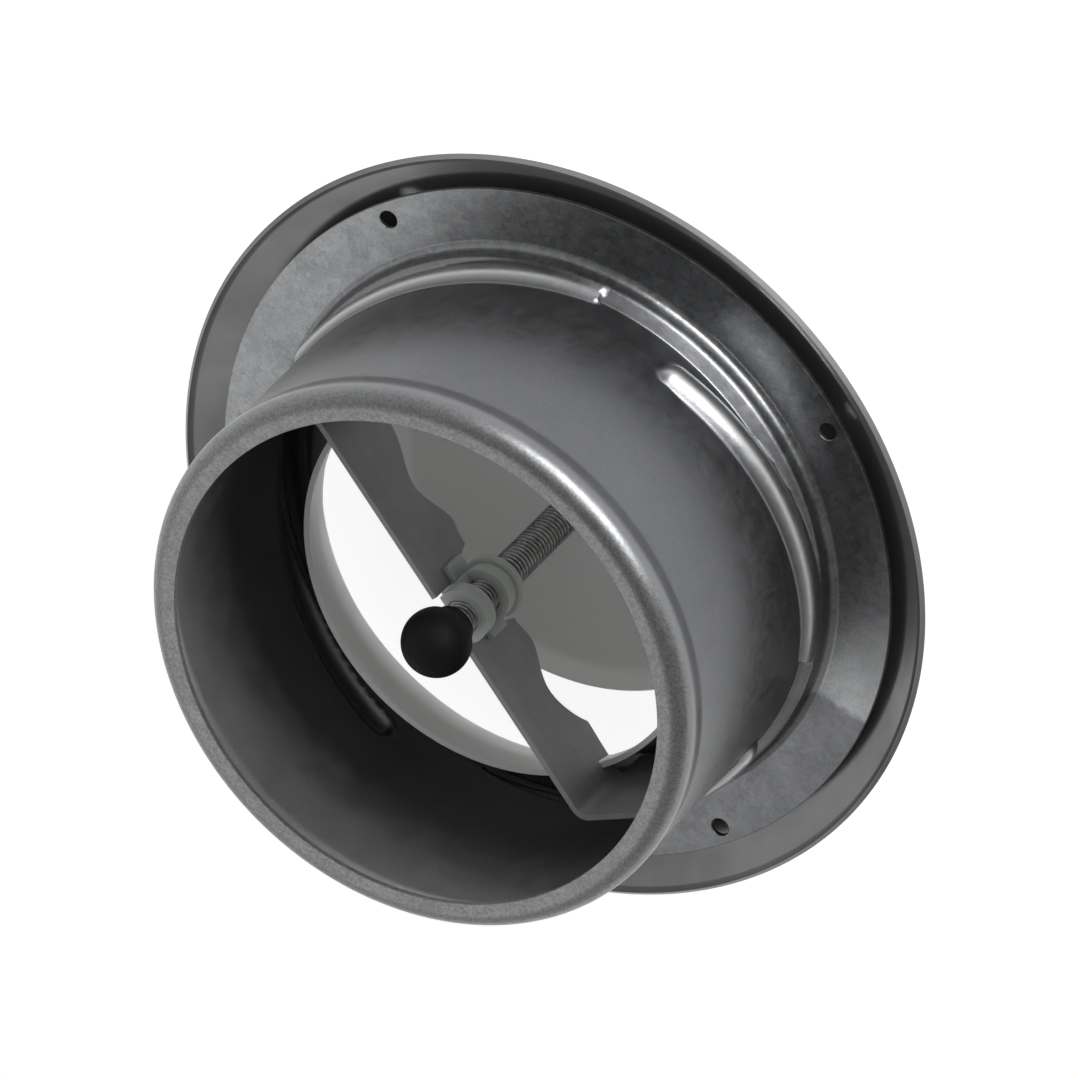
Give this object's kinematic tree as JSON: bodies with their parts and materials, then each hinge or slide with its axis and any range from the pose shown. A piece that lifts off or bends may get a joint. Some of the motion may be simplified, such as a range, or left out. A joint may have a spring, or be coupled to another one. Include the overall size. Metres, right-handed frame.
{
  "type": "disc valve",
  "caption": "Round metal disc valve for a ventilation duct, with a bayonet mounting frame and a disc on a threaded spindle that sets the air gap.",
  "frame": {"origin": "on the duct axis, in the ceiling plane, which is the back face of the frame's flange", "axes": "+Z along the duct axis into the duct, so the room is below, and +X along the bridge strip"},
  "size_m": [0.1368, 0.1368, 0.0638],
  "materials": {
    "galvanised_sheet": "galvanised, slightly mottled",
    "painted_ring": "smooth powder coat",
    "zinc_strip": "zinc plated, matt",
    "nut_plastic": "moulded, translucent grey",
    "spindle_steel": "threaded, dark",
    "cap_plastic": "moulded, matt black",
    "painted_disc": "smooth powder coat"
  },
  "bodies": {
    "frame": {"mounting_frame": "galvanised_sheet"},
    "ring": {"valve_ring": "painted_ring"},
    "bridge": {"bridge": "zinc_strip", "spindle_nut": "nut_plastic"},
    "cap": {"stop_cap": "cap_plastic"},
    "disc": {"spindle": "spindle_steel", "disc": "painted_disc"}
  },
  "joints": [
    {"name": "ring_drop", "type": "slide", "parent": "frame", "child": "ring", "axis": [0, 0, 1], "range_m": [-0.0074, 0]},
    {"name": "ring_turn", "type": "hinge", "parent": "ring", "child": "bridge", "pos_m": [0, 0, 0], "axis": [0, 0, 1], "range_deg": [-64, 0]},
    {"name": "disc_travel", "type": "slide", "parent": "bridge", "child": "cap", "axis": [0, 0, 1], "range_m": [-0.0022, 0.0239]},
    {"name": "disc_turn", "type": "hinge", "parent": "cap", "child": "disc", "pos_m": [0, 0, 0], "axis": [0, 0, 1], "range_deg": [-790, 8600]}
  ],
  "couplings": [
    {"joint": "ring_drop", "follows": "ring_turn", "m_per_rad": 0.0065722},
    {"joint": "disc_travel", "follows": "disc_turn", "m_per_rad": 0.00015915}
  ]
}
